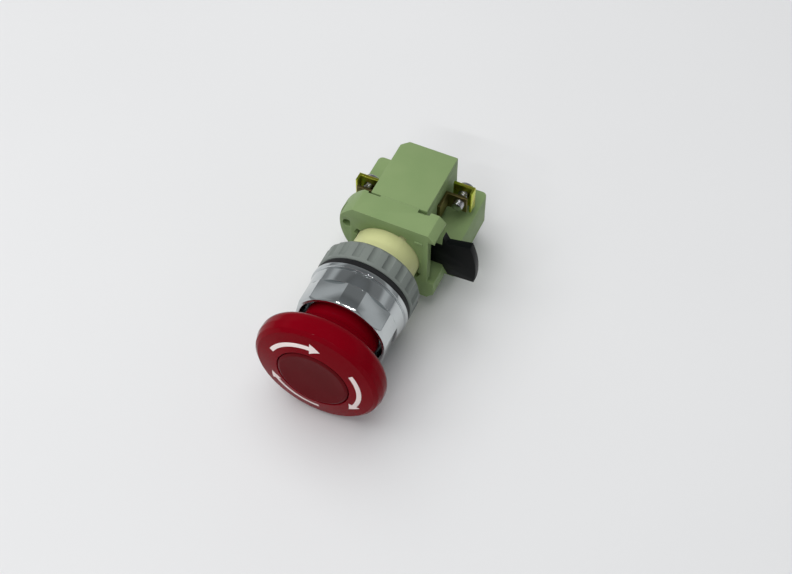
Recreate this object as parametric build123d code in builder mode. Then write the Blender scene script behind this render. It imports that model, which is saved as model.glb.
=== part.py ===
from build123d import *
import os
from math import cos, radians, sin

# Emergency-stop push button with a turn-to-release mushroom head, for a 22.3 mm panel hole.
# Millimetres. The button's axis is Y, with the head towards -Y; +X is the locking lever's side and
# +Z is up, with the open terminals on top. The origin is on the axis, in the panel's front plane,
# where the gasket seats. The head is out (released) and the lever is locked.

# Driving dimensions
head_radius = 20.0
head_front = -33.3
rim_rear = -25.3
flare_rear = -18.7
flare_round = 3.0
neck_radius = 11.6
neck_bore = 9.6
neck_end = -13.5
spring_seat = -21.0
disc_radius = 11.1
disc_thickness = 1.4
arrow_radius = 14.2
arrow_width = 1.5
arrow_span = 75
arrow_head = 13
inlay_depth = 0.35
cap_screw_radius = 2.0
cap_screw_head = 3.6
cap_screw_reach = 8.0

bezel_front = -15.7
bezel_joint = -8.3
bezel_rear = -2.1
bezel_bore = 13.2
bezel_floor = -4.6
collar_seat = -5.9
joint_radius = 14.1
flange_radius = 15.5
collar_radius = 15.0
narrow_flat = 22

barrel_radius = 11.0
barrel_bore = 9.45
barrel_end = 7.0
nut_radius = 15.4
nut_length = 7.2
nut_flutes = 20

body_radius = 10.4
body_end = 23.6
rear_bore = 9.1
stem_radius = 5.0
stem_front = -28.0
stem_end = 7.5
latch_bore = 7.4
latch_front = -0.9
latch_rear = 4.6
prong_z = 6.0
prong_end = 21.6

adapter_front = 16.4
adapter_rear = 24.9
adapter_half = 14.7
adapter_left = -12.0
adapter_right = 15.3
socket_radius = 10.6
flange_front = 21.9
flange_outer = 18.5
flange_bar = 10.5
cavity_front = 18.8
cavity_radius = 11.5
lug_radius = 11.05
lug_height = 1.7
lug_angles = (28, 118, 208, 298)
ring_front = 18.9
ring_rear = 21.9
ring_inner = 10.65
ring_radius = 11.35
lever_radius = 27.0
lever_front = 20.4
lever_thickness = 2.5
window = (-7.0, 11.8)
window_wall = 13.2
window_inner = 9.0

block_rear = 47.9
upper_half = 9.1
lower_half = 18.4
lower_rear = 50.6
lower_depth = 12.0
wall = 1.4
contact_y = 32.6
strip = 0.8
plunger_half = 1.9
plunger_tip = 21.9
bridge_gap = 0.05
terminal_x = 13.7
terminal_end = 16.2
saddle_lift = 3.6
saddle_width = 7.0
saddle_height = 8.4
screw_radius = 1.75
screw_reach = 5.5
clearance = 0.1

os.makedirs("parts", exist_ok=True)


def save(name, piece):
    """Label a finished piece and write its STEP file."""
    piece.part.label = name
    export_step(piece.part, f"parts/{name}.step")


def turned(*points, mode=Mode.ADD):
    """Turn a closed section, with corners at (radius, y), about the button's axis."""
    with BuildSketch() as profile:
        with BuildLine():
            Polyline(*points, close=True)
        make_face()
    revolve(profile.sketch, axis=Axis.Y, mode=mode)


def rod(radius, start, end, x=0.0, z=0.0, mode=Mode.ADD):
    """A round bar along Y."""
    with Locations((x, (start + end) / 2, z)):
        Cylinder(radius, end - start, rotation=(90, 0, 0), mode=mode)


def slab(x_range, y_range, z_range, mode=Mode.ADD):
    """A box given by its limits along each axis."""
    spans = (x_range, y_range, z_range)
    with Locations(tuple(sum(span) / 2 for span in spans)):
        Box(*(abs(high - low) for low, high in spans), mode=mode)


def front_plane(y):
    """A sketch plane at y that reads x to the right and z up, as seen from the front."""
    return Plane(origin=(0, y, 0), x_dir=(1, 0, 0), z_dir=(0, -1, 0))


def polar(radius, angle):
    """The (x, z) point at a clockwise angle from the top, as seen from the front."""
    return (radius * sin(radians(angle)), radius * cos(radians(angle)))


def coil(radius, wire, start, end, turns, z=0.0):
    """A compression spring along Y."""
    with BuildPart() as spring:
        pitch = (end - start - 2 * wire) / turns
        path = Helix(pitch, pitch * turns, radius, center=(0, start + wire, z), direction=(0, 1, 0))
        with BuildSketch(Plane(origin=path @ 0, z_dir=path % 0)):
            Circle(wire)
        sweep(path=path)
    return spring


# ---------------------------------------------------------------- the mushroom head

annulus_inner = (disc_radius + 0.4, head_front + 0.3)
annulus_outer = (18.0, head_front + 1.7)


def arrow(start):
    """The outline of one curved arrow that runs clockwise from the angle start."""
    inner = arrow_radius - arrow_width / 2
    outer = arrow_radius + arrow_width / 2
    tip = start + arrow_span
    neck = tip - arrow_head
    middle = (start + neck) / 2
    with BuildSketch(front_plane(head_front - 1)) as outline:
        with BuildLine():
            ThreePointArc(polar(outer, start), polar(outer, middle), polar(outer, neck))
            Polyline(polar(outer, neck), polar(outer + 1.1, neck), polar(arrow_radius, tip),
                     polar(inner - 1.1, neck), polar(inner, neck))
            ThreePointArc(polar(inner, neck), polar(inner, middle), polar(inner, start))
            Line(polar(inner, start), polar(outer, start))
        make_face()
    return outline.sketch


with BuildPart() as head_arrows:
    for start_angle in (-64, 56, 176):
        extrude(arrow(start_angle), amount=-5)
    turned(annulus_inner, annulus_outer, (annulus_outer[0], annulus_outer[1] + inlay_depth),
           (annulus_inner[0], annulus_inner[1] + inlay_depth), mode=Mode.INTERSECT)

disc_floor = head_front + disc_thickness
with BuildPart() as mushroom_head:
    with BuildSketch() as head_section:
        with BuildLine():
            Polyline((0, disc_floor), (disc_radius, disc_floor), (disc_radius, annulus_inner[1]),
                     annulus_inner, annulus_outer)
            ThreePointArc(annulus_outer, (19.5, head_front + 2.9), (head_radius, head_front + 4.6))
            FilletPolyline((head_radius, head_front + 4.6), (head_radius, rim_rear),
                           (neck_radius, flare_rear), (neck_radius, neck_end), radius=flare_round)
            Polyline((neck_radius, neck_end), (neck_bore, neck_end), (neck_bore, spring_seat),
                     (stem_radius, spring_seat), (stem_radius, stem_front), (0, stem_front),
                     (0, disc_floor))
        make_face()
    revolve(axis=Axis.Y)
    add(head_arrows.part, mode=Mode.SUBTRACT)
    rod(cap_screw_head, disc_floor, disc_floor + 2.0, mode=Mode.SUBTRACT)
    rod(cap_screw_radius, disc_floor, stem_front, mode=Mode.SUBTRACT)

with BuildPart() as head_disc:
    with BuildSketch():
        with BuildLine():
            ThreePointArc((0, head_front + 0.35), (disc_radius / 2, head_front + 0.26),
                          (disc_radius - 0.5, head_front))
            Polyline((disc_radius - 0.5, head_front), (disc_radius - 0.05, head_front + 0.4),
                     (disc_radius - 0.05, disc_floor), (0, disc_floor), (0, head_front + 0.35))
        make_face()
    revolve(axis=Axis.Y)

with BuildPart() as head_screw:
    rod(cap_screw_head - clearance, disc_floor + 0.05, disc_floor + 2.0)
    rod(cap_screw_radius, disc_floor + 2.0, stem_front + cap_screw_reach)
    slab((-2.4, 2.4), (disc_floor, disc_floor + 0.9), (-0.4, 0.4), mode=Mode.SUBTRACT)
    slab((-0.4, 0.4), (disc_floor, disc_floor + 0.9), (-2.4, 2.4), mode=Mode.SUBTRACT)

# ---------------------------------------------------------------- the moving stem and its latch

with BuildPart() as push_stem:
    turned((0, stem_front), (stem_radius, stem_front), (stem_radius, 1.4), (4.3, 2.0), (4.3, 3.6),
           (stem_radius, 4.2), (stem_radius, stem_end), (3.0, stem_end), (3.0, stem_end + 4.5),
           (0, stem_end + 4.5))
    rod(cap_screw_radius, stem_front, stem_front + cap_screw_reach, mode=Mode.SUBTRACT)

with BuildPart() as pusher_plate:
    turned((3.0, stem_end), (4.6, stem_end), (4.6, 10.0), (rear_bore - clearance, 10.0),
           (rear_bore - clearance, 12.5), (0, 12.5), (0, stem_end + 4.5), (3.0, stem_end + 4.5))
    for side in (1, -1):
        rod(1.6, 12.5, prong_end, z=side * prong_z)

return_spring = coil(radius=7.6, wire=0.5, start=spring_seat + 0.05, end=-4.05, turns=5)

with BuildPart() as latch_ring:
    turned((stem_radius + 0.3, latch_front), (latch_bore - clearance, latch_front),
           (latch_bore - clearance, latch_rear), (stem_radius + 0.3, latch_rear))
    for angle in (0, 120, 240):
        x, z = polar(6.3, angle)
        rod(0.7, latch_front, latch_front + 1.4, x=x, z=z, mode=Mode.SUBTRACT)

# ---------------------------------------------------------------- the bezel and the panel fixing

with BuildPart() as bezel_collar:
    turned((bezel_bore, bezel_front + 0.3), (bezel_bore + 0.25, bezel_front),
           (collar_radius - 0.8, bezel_front), (collar_radius, bezel_front + 1.0),
           (collar_radius, bezel_joint), (joint_radius, bezel_joint), (joint_radius, collar_seat),
           (bezel_bore, collar_seat))
    with BuildSketch(front_plane(bezel_front - 1)):
        with BuildLine():
            corners = []
            for index in range(6):
                corner = 60 * index - narrow_flat / 2 + 10
                corners.append(polar(collar_radius, corner))
                corners.append(polar(collar_radius, corner + narrow_flat))
            Polyline(*corners, close=True)
        make_face()
    extrude(amount=-(bezel_joint - bezel_front + 4), mode=Mode.INTERSECT)

with BuildPart() as bezel_body:
    turned((joint_radius, bezel_joint), (14.8, bezel_joint), (15.1, bezel_rear - 2.1),
           (15.0, bezel_rear - 1.9), (15.0, bezel_rear - 1.7), (flange_radius, bezel_rear - 1.5),
           (flange_radius, bezel_rear - 0.2), (flange_radius - 0.2, bezel_rear),
           (barrel_radius, bezel_rear), (barrel_radius, barrel_end - 0.4),
           (barrel_radius - 0.4, barrel_end), (barrel_bore, barrel_end), (barrel_bore, bezel_floor),
           (bezel_bore, bezel_floor), (bezel_bore, collar_seat), (joint_radius, collar_seat))

with BuildPart() as panel_gasket:
    turned((barrel_radius, bezel_rear), (14.9, bezel_rear), (15.1, bezel_rear + 0.3), (15.1, -0.3),
           (14.9, 0), (barrel_radius, 0))

with BuildPart() as ring_nut:
    turned((barrel_radius, 0), (nut_radius - 0.3, 0), (nut_radius, 0.4),
           (nut_radius, nut_length - 1.2), (nut_radius - 1.0, nut_length), (barrel_radius, nut_length))
    for index in range(nut_flutes):
        x, z = polar(nut_radius + 0.75, 8 + index * 360 / nut_flutes)
        rod(1.5, 0.9, nut_length + 1, x=x, z=z, mode=Mode.SUBTRACT)

with BuildPart() as operator_body:
    turned((stem_radius + 0.08, -4.0), (barrel_bore - 0.05, -4.0),
           (barrel_bore - 0.05, barrel_end), (body_radius, barrel_end),
           (body_radius, body_end - 0.4), (body_radius - 0.4, body_end), (rear_bore, body_end),
           (rear_bore, 8.4), (latch_bore, 7.2), (latch_bore, -1.0), (stem_radius + 0.08, -1.0))
    for angle in lug_angles:
        x, z = polar(lug_radius - lug_height / 2, angle)
        with Locations(Location((x, (ring_rear + body_end) / 2 + 0.05, z), (0, angle, 0))):
            Box(2.0, body_end - ring_rear - 0.3, lug_height)
    rod(rear_bore, 8.4, body_end, mode=Mode.SUBTRACT)

# ---------------------------------------------------------------- the adapter and its lock

with BuildPart() as adapter_housing:
    with BuildSketch(front_plane(adapter_front)):
        with BuildLine():
            corner_x = -(flange_outer ** 2 - adapter_half ** 2) ** 0.5
            ThreePointArc((corner_x, -adapter_half), (-flange_outer, 0), (corner_x, adapter_half))
            Polyline((corner_x, adapter_half), (adapter_right, adapter_half),
                     (adapter_right, -adapter_half), (corner_x, -adapter_half))
        make_face()
    extrude(amount=-(adapter_rear - adapter_front))
    chamfer(edges().filter_by(Axis.Y).group_by(Axis.X)[-1], length=2.2)
    slab((-flange_outer, adapter_left), (adapter_front, flange_front), (-flange_bar, flange_bar),
         mode=Mode.SUBTRACT)
    slab((window_wall, adapter_right), (adapter_front, adapter_rear), window, mode=Mode.SUBTRACT)
    slab((window_inner, adapter_right), (cavity_front, adapter_rear), window, mode=Mode.SUBTRACT)
    rod(socket_radius, adapter_front, cavity_front, mode=Mode.SUBTRACT)
    rod(cavity_radius, cavity_front, flange_front, mode=Mode.SUBTRACT)
    rod(lug_radius + 0.3, flange_front, adapter_rear, mode=Mode.SUBTRACT)
    for angle in lug_angles:
        x, z = polar(socket_radius, angle)
        with Locations(Location((x, adapter_front + 1.2, z), (0, angle, 0))):
            Box(2.4, 4.0, 2.4, mode=Mode.SUBTRACT)
    rod(1.6, flange_front, adapter_rear, x=-15.9, mode=Mode.SUBTRACT)
    slab((9.0, 11.4), (adapter_front - 0.4, adapter_front), (9.9, 10.5))
    slab((6.6, 10.4), (adapter_rear - 1.4, adapter_rear), (13.3, adapter_half), mode=Mode.SUBTRACT)
    slab((-9.8, -5.8), (adapter_rear - 0.6, adapter_rear), (13.3, adapter_half), mode=Mode.SUBTRACT)

with BuildPart() as lock_ring:
    turned((ring_inner, ring_front), (ring_radius, ring_front), (ring_radius, ring_rear),
           (ring_inner, ring_rear))

with BuildPart() as locking_lever:
    with BuildSketch(front_plane(lever_front)):
        with BuildLine():
            lever_top = (24.8, (lever_radius ** 2 - 24.8 ** 2) ** 0.5)
            lever_bottom = (26.6, -(lever_radius ** 2 - 26.6 ** 2) ** 0.5)
            Polyline((9.4, -1.5), (16.2, -1.5), (18.1, -5.3), lever_bottom)
            ThreePointArc(lever_bottom, polar(lever_radius, 80), lever_top)
            Polyline(lever_top, (17.6, 8.9), (16.2, 11.4), (15.9, 6.0), (9.4, 6.0), (9.4, -1.5))
        make_face()
    extrude(amount=-lever_thickness)
    rod(ring_radius, lever_front - 1, ring_rear, mode=Mode.SUBTRACT)
    slab((9, 15.7), (ring_rear, lever_front + lever_thickness), (-2, 7), mode=Mode.SUBTRACT)

# ---------------------------------------------------------------- the contact blocks


def mechanism(prefix, level):
    """The moving contact of one block: its plunger, bridge and spring."""
    bridge_y = contact_y + strip + 0.3 + bridge_gap
    half = plunger_half
    with BuildPart() as plunger:
        slab((-half, half), (plunger_tip, bridge_y), (level - half, level + half))
        chamfer(plunger.edges().group_by(Axis.Y)[0], length=0.5)
    save(f"{prefix}_plunger", plunger)
    with BuildPart() as bridge:
        slab((-6.6, 6.6), (bridge_y, bridge_y + 0.7), (level - 2, level + 2))
    save(f"{prefix}_bridge", bridge)
    spring = coil(radius=1.6, wire=0.2, start=bridge_y + 0.75, end=block_rear - wall - 0.05,
                  turns=7, z=level)
    save(f"{prefix}_spring", spring)


def fixed_contact(name, side, level, plate_y, height):
    """A fixed contact strip with its silver tip and, outside the contact chamber, its tapped plate."""
    low, high = level - height / 2, level + height / 2
    outside = upper_half + 0.1
    with BuildPart() as contact:
        slab((3.6, outside + strip), (contact_y, contact_y + strip), (low, high))
        slab((outside, outside + strip),
             (min(plate_y, contact_y), max(plate_y, contact_y) + strip), (low, high))
        slab((outside, terminal_end), (plate_y, plate_y + strip), (low, high))
        rod(1.2, contact_y + strip, contact_y + strip + 0.3, x=5.2, z=level)
        rod(screw_radius, plate_y - 1, plate_y + 2, x=terminal_x, z=level, mode=Mode.SUBTRACT)
        if side < 0:
            mirror(about=Plane.YZ, mode=Mode.REPLACE)
    save(name, contact)


def terminal(name, side, level, saddle_y):
    """A terminal's saddle, with its turned-down edge, and its slotted screw."""
    x = side * terminal_x
    edge = side * saddle_width / 2
    z_range = (level - saddle_height / 2, level + saddle_height / 2)
    with BuildPart() as saddle:
        slab((x - edge, x + edge), (saddle_y, saddle_y + 1.0), z_range)
        slab((x + edge - side * 0.8, x + edge), (saddle_y - 2.2, saddle_y), z_range)
        rod(screw_radius, saddle_y - 1, saddle_y + 2, x=x, z=level, mode=Mode.SUBTRACT)
    save(f"{name}_saddle", saddle)
    head = saddle_y + 1.0
    with BuildPart() as screw:
        rod(3.1, head, head + 0.6, x=x, z=level)
        rod(2.8, head + 0.6, head + 2.4, x=x, z=level)
        fillet(screw.edges().group_by(Axis.Y)[-1], radius=0.7)
        rod(screw_radius, saddle_y - screw_reach, head, x=x, z=level)
        slab((x - 3, x + 3), (head + 1.4, head + 3), (level - 0.4, level + 0.4),
             mode=Mode.SUBTRACT)
    save(f"{name}_screw", screw)


def plunger_way(level):
    """Cut the plunger's guide hole through a block's front wall."""
    half = plunger_half + clearance
    slab((-half, half), (adapter_rear, inner_y[0]), (level - half, level + half),
         mode=Mode.SUBTRACT)


def strip_way(level, reach, height):
    """Cut the slots that the two fixed contact strips pass through."""
    slab((-reach, reach), (contact_y, contact_y + strip), (level - height / 2, level + height / 2),
         mode=Mode.SUBTRACT)


inner_half = upper_half - wall
inner_y = (adapter_rear + wall, block_rear - wall)
upper_level = prong_z
lower_level = -prong_z
cover_z = adapter_half - 1.5
floor_z = -lower_depth + wall
pocket_x = (terminal_x - saddle_width / 2 - 0.4, terminal_x + saddle_width / 2 + 0.2)
pocket_z = (lower_level - saddle_height / 2 - 0.2, lower_level + saddle_height / 2 + 0.2)
pocket_front = 28.0

with BuildPart() as upper_housing:
    slab((-upper_half, upper_half), (adapter_rear, block_rear), (0, cover_z))
    chamfer(upper_housing.edges().filter_by(Axis.Z).sort_by(Axis.Y)[-2:].sort_by(Axis.X)[0], 2.2)
    slab((-inner_half, inner_half), inner_y, (wall, cover_z), mode=Mode.SUBTRACT)
    plunger_way(upper_level)
    strip_way(upper_level, upper_half, height=6)

with BuildPart() as upper_cover:
    slab((-upper_half, upper_half), (adapter_rear, block_rear), (cover_z, adapter_half))
    chamfer(upper_cover.edges().filter_by(Axis.Z).sort_by(Axis.Y)[-2:].sort_by(Axis.X)[0], 2.2)

with BuildPart() as lower_housing:
    slab((-lower_half, lower_half), (adapter_rear, lower_rear), (floor_z, 0))
    fillet(lower_housing.edges().filter_by(Axis.Z).sort_by(Axis.Y)[-2:], radius=1.6)
    slab((-inner_half, inner_half), inner_y, (floor_z, -wall), mode=Mode.SUBTRACT)
    plunger_way(lower_level)
    strip_way(lower_level, pocket_x[1], height=6)
    for side in (1, -1):
        slab((side * pocket_x[0], side * pocket_x[1]), (pocket_front, lower_rear + 1),
             (floor_z, pocket_z[1]), mode=Mode.SUBTRACT)

with BuildPart() as lower_cover:
    slab((-lower_half, lower_half), (adapter_rear, lower_rear), (-lower_depth, floor_z))
    fillet(lower_cover.edges().filter_by(Axis.Z).sort_by(Axis.Y)[-2:], radius=1.6)

for prefix, level in (("upper", upper_level), ("lower", lower_level)):
    mechanism(prefix, level)
saddle_places = {
    "upper_left": (-1, upper_level, 33.0),
    "upper_right": (1, upper_level, 42.0),
    "lower_left": (-1, lower_level, contact_y + saddle_lift),
    "lower_right": (1, lower_level, contact_y + saddle_lift),
}
for place, (side, level, saddle_y) in saddle_places.items():
    fixed_contact(f"{place}_contact", side, level, saddle_y - saddle_lift, height=6)
    terminal(place, side, level, saddle_y)

# ---------------------------------------------------------------- the files

named_pieces = {
    "mushroom_head": mushroom_head, "head_disc": head_disc, "head_arrows": head_arrows,
    "head_screw": head_screw, "push_stem": push_stem, "pusher_plate": pusher_plate,
    "return_spring": return_spring, "latch_ring": latch_ring, "bezel_collar": bezel_collar,
    "bezel_body": bezel_body, "panel_gasket": panel_gasket, "ring_nut": ring_nut,
    "operator_body": operator_body, "adapter_housing": adapter_housing, "lock_ring": lock_ring,
    "locking_lever": locking_lever, "upper_housing": upper_housing, "upper_cover": upper_cover,
    "lower_housing": lower_housing, "lower_cover": lower_cover,
}
for piece_name, piece in named_pieces.items():
    save(piece_name, piece)
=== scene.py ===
from math import cos, pi, radians, sin, tan

import bmesh
import bpy
from mathutils import Matrix, Vector


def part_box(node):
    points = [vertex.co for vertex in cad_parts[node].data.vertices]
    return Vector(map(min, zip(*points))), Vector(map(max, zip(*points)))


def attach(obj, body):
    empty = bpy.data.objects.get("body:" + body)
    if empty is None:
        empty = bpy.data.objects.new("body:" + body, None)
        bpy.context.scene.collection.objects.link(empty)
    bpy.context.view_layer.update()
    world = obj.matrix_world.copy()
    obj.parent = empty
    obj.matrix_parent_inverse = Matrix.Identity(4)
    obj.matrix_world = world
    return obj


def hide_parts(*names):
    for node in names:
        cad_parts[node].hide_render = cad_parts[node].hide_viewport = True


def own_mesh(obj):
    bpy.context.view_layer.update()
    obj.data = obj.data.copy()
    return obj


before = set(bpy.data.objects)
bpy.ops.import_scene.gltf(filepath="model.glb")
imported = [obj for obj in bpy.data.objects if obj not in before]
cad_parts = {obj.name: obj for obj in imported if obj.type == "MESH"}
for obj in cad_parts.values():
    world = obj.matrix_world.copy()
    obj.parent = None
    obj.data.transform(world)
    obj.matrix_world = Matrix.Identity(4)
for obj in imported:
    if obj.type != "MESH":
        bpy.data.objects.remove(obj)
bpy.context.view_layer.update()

# An emergency-stop push button around its CAD frame. Lengths here are millimetres unless a name
# ends in _m; MM turns them into Blender's metres. The button's axis is Y, its head is towards -Y.

MM = 0.001


def box(node):
    """A CAD node's lowest and highest corners, in millimetres."""
    low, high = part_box(node)
    return low / MM, high / MM


# ---------------------------------------------------------------- sizes taken from the frame

head_low, head_high = box("mushroom_head")
head_radius = head_high.x
head_front = box("head_disc")[0].y
disc_radius = box("head_disc")[1].x
bezel_front = box("bezel_collar")[0].y
bezel_joint = box("bezel_collar")[1].y - 2.4
bezel_rear = box("panel_gasket")[0].y
floor_z = head_low.z

# ---------------------------------------------------------------- sizes that the CAD shares

neck_radius = 11.6
neck_bore = 9.6
flare_front = -25.3
flare_rear = -18.7
flare_round = 3.0
spring_seat = -21.0
stem_radius = 5.0
bezel_bore = 13.2
bezel_floor = bezel_joint + 3.7
collar_seat = bezel_joint + 2.4
joint_radius = 14.1
flange_radius = 15.5
barrel_radius = 11.0
barrel_bore = 9.45
barrel_end = 7.0

# ---------------------------------------------------------------- mesh helpers


def piece(name, mesh_data, body, material, slot, *nodes, angle=32):
    """Put a finished mesh in the scene as one piece of the object, and let it stand for CAD nodes."""
    made = bpy.data.meshes.new(name)
    mesh_data.to_mesh(made)
    mesh_data.free()
    thing = bpy.data.objects.new(name, made)
    bpy.context.scene.collection.objects.link(thing)
    made.materials.append(material)
    made.shade_smooth()
    made.set_sharp_from_angle(angle=radians(angle))
    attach(thing, body)
    if nodes:
        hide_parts(*nodes)
    return thing


def softened(node, width, segments=2, angle=28):
    """A copy of a CAD node's mesh with its hard edges rounded over by a small width."""
    made = bmesh.new()
    made.from_mesh(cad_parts[node].data)
    bmesh.ops.remove_doubles(made, verts=made.verts, dist=2e-6)
    bmesh.ops.dissolve_limit(made, angle_limit=radians(0.5), verts=made.verts, edges=made.edges)
    sharp = [edge for edge in made.edges
             if edge.is_manifold and edge.calc_face_angle() > radians(angle)]
    bmesh.ops.bevel(made, geom=sharp, offset=width * MM, offset_type="OFFSET", segments=segments,
                    profile=0.5, affect="EDGES", clamp_overlap=True)
    return made


def rounded(corners, steps=6, closed=True):
    """Points along an outline whose corners are (radius, y, fillet radius)."""
    points = []
    count = len(corners)
    for index, (r, y, fillet) in enumerate(corners):
        here = Vector((r, y))
        if fillet == 0 or (not closed and index in (0, count - 1)):
            points.append(here)
            continue
        before = Vector(corners[index - 1][:2]) - here
        after = Vector(corners[(index + 1) % count][:2]) - here
        half = before.angle(after) / 2
        reach = min(fillet / tan(half), 0.49 * before.length, 0.49 * after.length)
        fillet = reach * tan(half)
        centre = here + (before.normalized() + after.normalized()).normalized() * fillet / sin(half)
        start = here + before.normalized() * reach - centre
        turn = start.angle_signed(here + after.normalized() * reach - centre)
        for step in range(steps + 1):
            spin = Matrix.Rotation(-turn * step / steps, 2)
            points.append(centre + spin @ start)
    return points


def lathe(outline, segments=160):
    """Turn a closed outline of (radius, y) points about the button's axis."""
    made = bmesh.new()
    rows = []
    for r, y in outline:
        if r < 1e-4:
            rows.append([made.verts.new((0, y * MM, 0))] * segments)
            continue
        rows.append([made.verts.new((r * sin(2 * pi * k / segments) * MM, y * MM,
                                     r * cos(2 * pi * k / segments) * MM)) for k in range(segments)])
    for row, following in zip(rows, rows[1:] + rows[:1]):
        for k in range(segments):
            ring = (row[k], row[(k + 1) % segments], following[(k + 1) % segments], following[k])
            corners = list(dict.fromkeys(ring))
            if len(corners) > 2:
                made.faces.new(corners)
    bmesh.ops.recalc_face_normals(made, faces=made.faces)
    return made


def shifted(mesh_data, x=0.0, y=0.0, z=0.0):
    """Move a mesh that is still being made."""
    bmesh.ops.translate(mesh_data, verts=mesh_data.verts, vec=Vector((x, y, z)) * MM)
    return mesh_data


def merged(*parts):
    """Put several meshes together as separate shells of one."""
    made = bmesh.new()
    for part in parts:
        holder = bpy.data.meshes.new("holder")
        part.to_mesh(holder)
        part.free()
        made.from_mesh(holder)
        bpy.data.meshes.remove(holder)
    return made


def tube(points, radius, sides=14):
    """A round wire along points, closed at both ends."""
    made = bmesh.new()
    rows = []
    for index, point in enumerate(points):
        ahead = points[min(index + 1, len(points) - 1)] - points[max(index - 1, 0)]
        across = ahead.cross(Vector((0, 1, 0))).normalized()
        up = across.cross(ahead).normalized()
        rows.append([made.verts.new((point + (across * cos(2 * pi * k / sides)
                                              + up * sin(2 * pi * k / sides)) * radius) * MM)
                     for k in range(sides)])
    for row, following in zip(rows, rows[1:]):
        for k in range(sides):
            made.faces.new((row[k], row[(k + 1) % sides], following[(k + 1) % sides], following[k]))
    made.faces.new(rows[0])
    made.faces.new(rows[-1])
    bmesh.ops.recalc_face_normals(made, faces=made.faces)
    return made


# ---------------------------------------------------------------- materials


class Surface:
    """A procedural material: one Principled shader with the nodes that vary it."""

    def __init__(self, name, **values):
        self.material = bpy.data.materials.new(name)
        self.material.use_nodes = True
        self.tree = self.material.node_tree
        self.shader = self.tree.nodes["Principled BSDF"]
        self.place = self.node("ShaderNodeTexCoord").outputs["Object"]
        for socket, value in values.items():
            self.shader.inputs[socket.replace("_", " ")].default_value = value

    def node(self, kind, inputs=None, **settings):
        made = self.tree.nodes.new(kind)
        for key, value in settings.items():
            setattr(made, key, value)
        for key, value in (inputs or {}).items():
            if isinstance(value, bpy.types.NodeSocket):
                self.tree.links.new(value, made.inputs[key])
            else:
                made.inputs[key].default_value = value
        return made

    def noise(self, scale, detail=3.0, roughness=0.5, place=None, distortion=0.0):
        """Noise with a scale in features per metre."""
        made = self.node("ShaderNodeTexNoise", {
            "Vector": place or self.place, "Scale": scale, "Detail": detail,
            "Roughness": roughness, "Distortion": distortion})
        return made.outputs["Fac"]

    def stretched(self, x, y, z):
        """The object's coordinates, stretched so that a pattern runs along one axis."""
        return self.node("ShaderNodeMapping", {"Vector": self.place, "Scale": (x, y, z)}).outputs[0]

    def spread(self, value, low, high, from_low=0.3, from_high=0.7):
        """Map a value's range to another."""
        made = self.node("ShaderNodeMapRange", {
            "Value": value, "From Min": from_low, "From Max": from_high, "To Min": low, "To Max": high})
        return made.outputs[0]

    def blend(self, factor, first, second):
        """Mix two colours."""
        made = self.node("ShaderNodeMix", data_type="RGBA")
        self.tree.links.new(factor, made.inputs["Factor"])
        for socket, colour in ((made.inputs[6], first), (made.inputs[7], second)):
            if isinstance(colour, bpy.types.NodeSocket):
                self.tree.links.new(colour, socket)
            else:
                socket.default_value = (*colour, 1)
        return made.outputs[2]

    def edges(self, radius, low=0.0, high=1.0):
        """Near 1 along hard or rounded edges, 0 on open faces."""
        soft = self.node("ShaderNodeBevel", {"Radius": radius * MM}, samples=4).outputs[0]
        hard = self.node("ShaderNodeNewGeometry").outputs["Normal"]
        match = self.node("ShaderNodeVectorMath", {0: soft, 1: hard}, operation="DOT_PRODUCT")
        return self.spread(match.outputs["Value"], high, low, 0.86, 0.995)

    def feed(self, socket, value):
        self.tree.links.new(value, self.shader.inputs[socket])

    def bump(self, height, distance, strength=0.3, under=None):
        """Raise the surface by a height in millimetres."""
        inputs = {"Height": height, "Distance": distance * MM, "Strength": strength}
        if under:
            inputs["Normal"] = under
        made = self.node("ShaderNodeBump", inputs).outputs[0]
        self.feed("Normal", made)
        return made


def moulded(name, colour, tone, roughness, grain, edge_highlight=None, **values):
    """Moulded plastic: a slow drift of tone, a spark-eroded grain, and edges painted lighter as a
    highlight.
    """
    made = Surface(name, **values)
    drift = made.spread(made.noise(90, 4), 0, 1)
    tinted = made.blend(drift, colour, tone)
    # painted highlight: hard and rounded edges are blended towards a lighter colour, as if they caught the
    # light
    if edge_highlight:
        painted_edge_highlight = made.edges(0.35, 0, 0.55)
        tinted = made.blend(painted_edge_highlight, tinted, edge_highlight)
    made.feed("Base Color", tinted)
    fine = made.noise(3200, 2)
    made.feed("Roughness", made.spread(made.noise(260, 5), roughness - 0.05, roughness + 0.07))
    made.bump(fine, grain, 0.35)
    return made.material


def polished(name, colour, tone, roughness, **values):
    """Polished plastic with handling marks: faint hairlines and a dull haze in places."""
    made = Surface(name, **values)
    drift = made.spread(made.noise(60, 3), 0, 1)
    made.feed("Base Color", made.blend(drift, colour, tone))
    hairs = made.noise(900, 2, place=made.stretched(1.0, 0.05, 0.6))
    haze = made.noise(130, 6, 0.6)
    dull = made.node("ShaderNodeMath", {0: made.spread(haze, 0, 0.09, 0.45, 0.8),
                                        1: made.spread(hairs, 0, 0.05, 0.55, 0.8)}, operation="ADD")
    total = made.node("ShaderNodeMath", {0: dull.outputs[0], 1: roughness}, operation="ADD")
    made.feed("Roughness", total.outputs[0])
    orange_peel = made.noise(420, 1)
    made.bump(orange_peel, 0.02, 0.12)
    return made.material


def plated(name, colour, tone, roughness, marks, grain=0.004, **values):
    """Plated or bare metal: a drift of tone, tool marks round the axis, and smudges."""
    made = Surface(name, Metallic=1.0, **values)
    drift = made.spread(made.noise(140, 4), 0, 1)
    made.feed("Base Color", made.blend(drift, colour, tone))
    smudge = made.noise(210, 5, 0.6)
    made.feed("Roughness", made.spread(smudge, roughness, roughness + 0.1, 0.4, 0.8))
    lines = made.noise(1400, 2, place=made.stretched(*marks))
    made.bump(lines, grain, 0.25)
    return made.material


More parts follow.
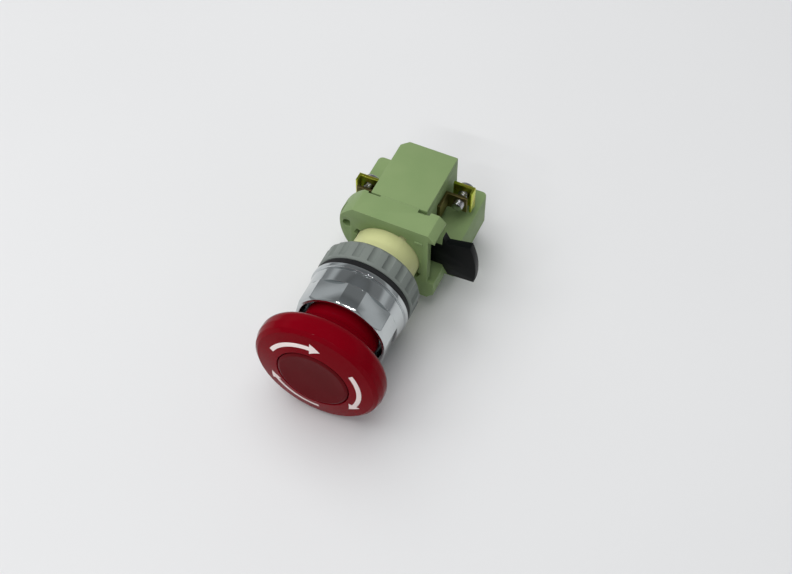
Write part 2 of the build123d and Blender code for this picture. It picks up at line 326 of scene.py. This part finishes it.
def passivated(name):
    """Yellow chromate on zinc: gold that drifts to green and olive, with dull dark spots."""
    made = Surface(name, Metallic=1.0)
    film = made.noise(340, 4, 0.6, distortion=0.8)
    gold = made.blend(made.spread(film, 0, 1, 0.35, 0.65), (0.62, 0.52, 0.06), (0.50, 0.60, 0.07))
    spots = made.spread(made.noise(900, 3), 0, 0.7, 0.62, 0.78)
    made.feed("Base Color", made.blend(spots, gold, (0.16, 0.14, 0.03)))
    made.feed("Roughness", made.spread(made.noise(500, 4), 0.24, 0.42))
    made.bump(made.noise(1800, 2), 0.006, 0.3)
    return made.material


red = polished("red_gloss", (0.195, 0.0006, 0.0060), (0.170, 0.0005, 0.0050), 0.07,
               IOR=1.45, Specular_IOR_Level=0.05)
maroon = polished("maroon_gloss", (0.118, 0.006, 0.009), (0.102, 0.005, 0.007), 0.20,
                  IOR=1.45, Specular_IOR_Level=0.03)
white = moulded("white_inlay", (0.92, 0.80, 0.78), (0.86, 0.72, 0.70), 0.36, 0.004,
                Specular_IOR_Level=0.3)
chrome = plated("chrome_plate", (0.585, 0.615, 0.620), (0.535, 0.565, 0.570), 0.07, (1, 12, 1))
black_rubber = moulded("black_rubber", (0.010, 0.010, 0.011), (0.018, 0.018, 0.019), 0.68, 0.02,
                       Specular_IOR_Level=0.3)
# the last colour given to the nylon, ivory, green and black plastics is a painted edge highlight
nylon = moulded("grey_nylon", (0.185, 0.208, 0.190), (0.160, 0.182, 0.168), 0.50, 0.012,
                edge_highlight=(0.27, 0.29, 0.28), Specular_IOR_Level=0.35)
ivory = moulded("ivory_plastic", (0.60, 0.62, 0.31), (0.55, 0.57, 0.28), 0.42, 0.010,
                edge_highlight=(0.72, 0.72, 0.44), Specular_IOR_Level=0.25)
green = moulded("green_plastic", (0.222, 0.308, 0.136), (0.198, 0.286, 0.122), 0.48, 0.010,
                edge_highlight=(0.31, 0.41, 0.21), Specular_IOR_Level=0.22)
black = moulded("black_plastic", (0.0012, 0.0020, 0.0018), (0.0022, 0.003, 0.003), 0.42, 0.014,
                edge_highlight=(0.012, 0.014, 0.014), Specular_IOR_Level=0.12)
spring_steel = plated("spring_wire", (0.48, 0.48, 0.47), (0.36, 0.36, 0.35), 0.22, (1, 1, 6))
bright_zinc = plated("bright_zinc", (0.56, 0.56, 0.58), (0.44, 0.44, 0.46), 0.20, (8, 1, 1))
# painted shade: the brass is darkened well below its own colour to stand in for the shade round the
# terminals
shade_darkened_brass = plated("contact_brass", (0.22, 0.18, 0.07), (0.15, 0.12, 0.045), 0.34, (1, 9, 1))
yellow_zinc = passivated("yellow_zinc")

# ---------------------------------------------------------------- the mushroom head

face_in = (disc_radius + 0.35, head_front + 0.3)
face_out = (18.2, head_front + 1.75)
disc_floor = head_front + 1.4
stem_front = box("push_stem")[0].y


def face_y(r):
    """The y of the head's conical face at a radius."""
    share = (r - face_in[0]) / (face_out[0] - face_in[0])
    return face_in[1] + share * (face_out[1] - face_in[1])


def mushroom_head():
    """The red cap, turned from one outline with its rim, flared neck and bore."""
    skirt = bezel_front + 2.2
    outline = rounded([
        (0, disc_floor, 0), (disc_radius + 0.05, disc_floor, 0.1), (*face_in, 0.18), (*face_out, 0.6),
        (19.35, head_front + 2.75, 0.7), (head_radius, head_front + 4.8, 2.0),
        (head_radius, flare_front, flare_round), (neck_radius, flare_rear, flare_round),
        (neck_radius, skirt, 0.3),
        (neck_bore, skirt, 0.3), (neck_bore, spring_seat, 0.4),
        (stem_radius, spring_seat, 0.2), (stem_radius, stem_front, 0),
        (0, stem_front, 0)], steps=8)
    piece("red_cap", lathe(outline, 256), "head", red, "red_head", "mushroom_head", angle=50)


def centre_disc():
    """The shallow dished disc in the middle of the face, with a rolled edge."""
    edge = disc_radius - 0.05
    outline = rounded([
        (0, head_front + 0.35, 0), (4.5, head_front + 0.32, 6.0), (8.2, head_front + 0.17, 8.0),
        (edge - 0.75, head_front + 0.01, 0.5), (edge, head_front + 0.36, 0.35),
        (edge, disc_floor, 0), (0, disc_floor, 0)], steps=8)
    piece("centre_disc", lathe(outline, 200), "head", maroon, "maroon_disc", "head_disc", angle=50)


def arrow(start):
    """One curved arrow, clockwise from the angle start, laid on the head's cone."""
    middle, half, span, tip_span = 14.2, 0.68, 75.0, 13.0
    proud, depth = 0.05, 0.3
    made = bmesh.new()
    neck = start + span - tip_span
    stations = [(start + (neck - start) * k / 30, half) for k in range(31)]
    stations += [(neck + tip_span * k / 10, (half + 1.1) * (1 - k / 10)) for k in range(11)]
    loops = []
    for inset, lift in ((0.0, depth), (0.0, -proud + 0.03), (0.04, -proud)):
        loop = []
        for side in (1, -1):
            ordered = stations if side > 0 else stations[::-1]
            for angle, width in ordered:
                if side < 0 and width == 0:
                    continue
                r = middle + side * max(width - inset, 0)
                turn = radians(angle)
                loop.append(made.verts.new((r * sin(turn) * MM, (face_y(r) + lift) * MM,
                                            r * cos(turn) * MM)))
        loops.append(loop)
    count = len(loops[0])
    for lower, upper in zip(loops, loops[1:]):
        for k in range(count):
            made.faces.new((lower[k], lower[(k + 1) % count], upper[(k + 1) % count], upper[k]))
    for loop in (loops[0], loops[-1]):
        left, right = 0, count - 1
        while right - left > 1:
            corners = [loop[left], loop[left + 1], loop[right - 1], loop[right]]
            made.faces.new(list(dict.fromkeys(corners)))
            left, right = left + 1, right - 1
    bmesh.ops.recalc_face_normals(made, faces=made.faces)
    return made


mushroom_head()
centre_disc()
arrows = merged(*(arrow(start) for start in (-64, 56, 176)))
piece("arrow_inlays", arrows, "head", white, "white_inlay", "head_arrows")

# ---------------------------------------------------------------- bezel, gasket, nut and barrel


def softened_piece(node, width, body, material, slot, segments=2):
    """A CAD node's own shape with rounded edges, shown in the node's place."""
    return piece(f"{node}_skin", softened(node, width, segments), body, material, slot, node)


def bezel_body():
    """The round rear part of the bezel, its thin flange, and the threaded barrel's blank."""
    outline = rounded([
        (joint_radius, bezel_joint, 0), (14.8, bezel_joint, 0.12), (15.1, bezel_rear - 2.1, 0.3),
        (14.95, bezel_rear - 1.85, 0.1), (14.95, bezel_rear - 1.6, 0.1),
        (flange_radius, bezel_rear - 1.45, 0.15), (flange_radius, bezel_rear - 0.15, 0.25),
        (15.2, bezel_rear, 0.1), (barrel_radius, bezel_rear, 0), (barrel_radius, 6.6, 0.2),
        (10.6, barrel_end, 0.1), (barrel_bore, barrel_end, 0.1), (barrel_bore, bezel_floor, 0),
        (bezel_bore, bezel_floor, 0), (bezel_bore, collar_seat, 0), (joint_radius, collar_seat, 0)])
    piece("bezel_rear", lathe(outline, 200), "base", chrome, "chrome", "bezel_body", angle=40)


def gasket():
    """The rubber ring, with a bulged edge and a fine mould line round it."""
    low, high = bezel_rear, 0.0
    middle = (low + high) / 2
    outline = rounded([
        (barrel_radius, low, 0), (14.85, low, 0.25), (15.1, middle - 0.25, 0.4), (15.0, middle, 0.05),
        (15.1, middle + 0.25, 0.4), (14.85, high, 0.25), (barrel_radius, high, 0)])
    piece("gasket_ring", lathe(outline, 180), "base", black_rubber, "rubber", "panel_gasket", angle=50)


bezel_body()
gasket()
softened_piece("bezel_collar", 0.16, "base", chrome, "chrome")
softened_piece("ring_nut", 0.26, "base", nylon, "grey_nylon")
softened_piece("operator_body", 0.15, "base", ivory, "ivory")

# ---------------------------------------------------------------- adapter, lever and blocks

softened_piece("adapter_housing", 0.25, "base", green, "green_housing")
softened_piece("locking_lever", 0.25, "lock", black, "black_plastic")
for block in ("upper_housing", "upper_cover", "lower_housing", "lower_cover"):
    softened_piece(block, 0.22, "base", green, "green_housing")

# ---------------------------------------------------------------- terminals


def threaded(radius, pitch, depth, start, end, segments=40):
    """A screw's shank along Y with a real helical ridge, blunt at its tip."""
    made = bmesh.new()
    rows_per_turn = 8
    rows = []
    count = int((end - start) / pitch * rows_per_turn)
    for row in range(count + 1):
        y = start + (end - start) * row / count
        ring = []
        for k in range(segments):
            turn = k / segments
            phase = (y / pitch - turn) % 1.0
            ridge = 1 - abs(2 * phase - 1)
            tip = min(1.0, (y - start) / (0.6 * pitch) + 0.45)
            r = min(radius - depth + depth * min(1.0, ridge * 1.25), radius * tip)
            ring.append(made.verts.new((r * sin(2 * pi * turn) * MM, y * MM, r * cos(2 * pi * turn) * MM)))
        rows.append(ring)
    for row, following in zip(rows, rows[1:]):
        for k in range(segments):
            made.faces.new((row[k], row[(k + 1) % segments], following[(k + 1) % segments], following[k]))
    made.faces.new(rows[0])
    made.faces.new(rows[-1])
    bmesh.ops.recalc_face_normals(made, faces=made.faces)
    return made


def screw_head(head_y):
    """A cheese head on its captive washer, with a sawn slot across it."""
    outline = rounded([
        (0, head_y, 0), (3.1, head_y, 0.08), (3.1, head_y + 0.55, 0.15), (2.75, head_y + 0.6, 0.05),
        (2.8, head_y + 2.0, 0.5), (0.0, head_y + 2.4, 0)], steps=5)
    body = lathe(outline, 72)
    slot_box = bmesh.new()
    bmesh.ops.create_cube(slot_box, size=1, matrix=Matrix.Diagonal((7 * MM, 2 * MM, 0.8 * MM, 1)))
    shifted(slot_box, y=head_y + 2.4)
    return cut(body, slot_box)


def cut(body, tool):
    """Subtract one mesh from another."""
    made = []
    for label, data in (("cut_body", body), ("cut_tool", tool)):
        mesh_data = bpy.data.meshes.new(label)
        data.to_mesh(mesh_data)
        data.free()
        thing = bpy.data.objects.new(label, mesh_data)
        bpy.context.scene.collection.objects.link(thing)
        made.append(thing)
    body_object, tool_object = made
    modifier = body_object.modifiers.new("cut", "BOOLEAN")
    modifier.object = tool_object
    modifier.operation = "DIFFERENCE"
    modifier.solver = "EXACT"
    graph = bpy.context.evaluated_depsgraph_get()
    result = bmesh.new()
    result.from_mesh(body_object.evaluated_get(graph).to_mesh())
    for thing in made:
        bpy.data.objects.remove(thing)
    return result


for level in ("upper", "lower"):
    for side in ("left", "right"):
        place = f"{level}_{side}"
        clamp = f"{place}_clamp"
        low, high = box(f"{place}_screw")
        middle = (low + high) / 2
        head_y = high.y - 2.4
        shank = threaded(1.75, 0.6, 0.32, low.y, head_y)
        screw = shifted(merged(screw_head(head_y), shank), x=middle.x, z=middle.z)
        piece(f"{place}_threaded_screw", screw, clamp, bright_zinc, "screw_steel", f"{place}_screw")
        softened_piece(f"{place}_saddle", 0.18, clamp, yellow_zinc, "yellow_zinc")
        softened_piece(f"{place}_contact", 0.08, "base", shade_darkened_brass, "contact_brass", segments=1)

# ---------------------------------------------------------------- what is inside


def spring(name, node, radius, wire, turns, body="base"):
    """A compression spring with closed ends, wound to fill its CAD node's length."""
    low, high = box(node)
    z = (low.z + high.z) / 2
    start, end = low.y + wire, high.y - wire
    closed = 0.9
    points = []
    steps = int(turns * 28)
    for step in range(steps + 1):
        turn = turns * step / steps
        active = min(max(turn - closed, 0), turns - 2 * closed) / (turns - 2 * closed)
        packed = (min(turn, closed) + max(turn - turns + closed, 0)) * 2 * wire
        y = start + packed + active * (end - start - 4 * closed * wire)
        points.append(Vector((radius * sin(2 * pi * turn), y, z + radius * cos(2 * pi * turn))))
    made = piece(name, tube(points, wire), body, spring_steel, "spring_steel", node)
    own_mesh(made)


spring("return_coil", "return_spring", 7.6, 0.5, 7)
spring("upper_coil", "upper_spring", 1.6, 0.2, 9)
spring("lower_coil", "lower_spring", 1.6, 0.2, 9)

inside = {
    "push_stem": ("stem", black, "black_plastic"),
    "pusher_plate": ("stem", black, "black_plastic"),
    "latch_ring": ("latch", black, "black_plastic"),
    "lock_ring": ("lock", black, "black_plastic"),
    "upper_plunger": ("upper_mover", ivory, "ivory"),
    "lower_plunger": ("lower_mover", ivory, "ivory"),
    "upper_bridge": ("upper_mover", shade_darkened_brass, "contact_brass"),
    "lower_bridge": ("lower_mover", shade_darkened_brass, "contact_brass"),
}
for node, (body, material, slot) in inside.items():
    softened_piece(node, 0.1, body, material, slot, segments=1)


def head_screw():
    """The screw under the disc, a hair thinner than the bore of the stem that it turns in."""
    made = softened("head_screw", 0.1, segments=1)
    for vert in made.verts:
        vert.co.x *= 0.98
        vert.co.z *= 0.98
    piece("head_screw_skin", made, "head", bright_zinc, "screw_steel", "head_screw")


head_screw()

# ---------------------------------------------------------------- floor, light and camera


def floor():
    """A plain pale sheet under the lowest point of the object."""
    bpy.ops.mesh.primitive_plane_add(size=6, location=(0, 0, floor_z * MM))
    sheet = bpy.context.object
    sheet.name = "floor"
    made = Surface("pale_floor", Roughness=0.55)
    tone = made.spread(made.noise(6, 2), 0, 1)
    made.feed("Base Color", made.blend(tone, (0.755, 0.76, 0.77), (0.735, 0.74, 0.75)))
    sheet.data.materials.append(made.material)


def area_light(name, direction, distance, size, power, colour=(1, 1, 1), size_y=None):
    """A soft box that looks at the object from a direction."""
    data = bpy.data.lights.new(name, "AREA")
    data.shape = "RECTANGLE"
    data.size = size
    data.size_y = size_y or size
    data.energy = power
    data.color = colour
    lamp = bpy.data.objects.new(name, data)
    lamp.location = Vector(direction).normalized() * distance
    lamp.rotation_mode = "QUATERNION"
    lamp.rotation_quaternion = Vector(direction).to_track_quat("Z", "Y")
    bpy.context.scene.collection.objects.link(lamp)
    return lamp


def room():
    """A plain grey room: lighter near the horizon, darker overhead."""
    world = bpy.data.worlds.new("room")
    bpy.context.scene.world = world
    world.use_nodes = True
    tree = world.node_tree
    place = tree.nodes.new("ShaderNodeTexCoord")
    axes = tree.nodes.new("ShaderNodeSeparateXYZ")
    ramp = tree.nodes.new("ShaderNodeValToRGB")
    tree.links.new(place.outputs["Generated"], axes.inputs[0])
    tree.links.new(axes.outputs["Z"], ramp.inputs[0])
    tree.links.new(ramp.outputs[0], tree.nodes["Background"].inputs["Color"])
    elements = ramp.color_ramp.elements
    elements[0].position, elements[0].color = 0.0, (0.27, 0.28, 0.29, 1)
    elements[1].position, elements[1].color = 1.0, (0.19, 0.20, 0.21, 1)
    stops = ((0.22, 0.31), (0.34, 0.50), (0.46, 0.51), (0.58, 0.21), (0.80, 0.20), (0.87, 0.14))
    for height, grey in stops:
        stop = elements.new(height)
        stop.color = (grey, grey * 1.03, grey * 1.05, 1)


def camera():
    """The camera, above and to the right of the head, aimed beside the ring nut."""
    azimuth, elevation, roll = radians(25.04), radians(53.65), radians(-0.19)
    distance, aim = 413.4, Vector((7.80, 5.97, 0.14))
    back = Vector((sin(azimuth) * cos(elevation), -cos(azimuth) * cos(elevation), sin(elevation)))
    data = bpy.data.cameras.new("camera")
    data.lens = 63.9
    data.sensor_width = 36.0
    data.clip_start, data.clip_end = 0.01, 20
    made = bpy.data.objects.new("camera", data)
    made.location = (aim + back * distance) * MM
    made.rotation_mode = "QUATERNION"
    turn = Matrix.Rotation(roll, 3, "Z").to_quaternion()
    made.rotation_quaternion = back.to_track_quat("Z", "Y") @ turn
    bpy.context.scene.collection.objects.link(made)
    bpy.context.scene.camera = made


floor()
room()
area_light("key", (-0.32, 0.02, 1.0), 1.1, 1.5, 14.6, (1.0, 0.99, 0.98)).visible_glossy = False
area_light("long_tube", (0.09, -0.76, 0.70), 1.2, 0.40, 1.8, size_y=0.012)
area_light("short_tube", (-0.33, -0.72, 0.66), 1.2, 0.13, 0.6, size_y=0.012)
camera()
bpy.context.scene.view_settings.view_transform = "Standard"
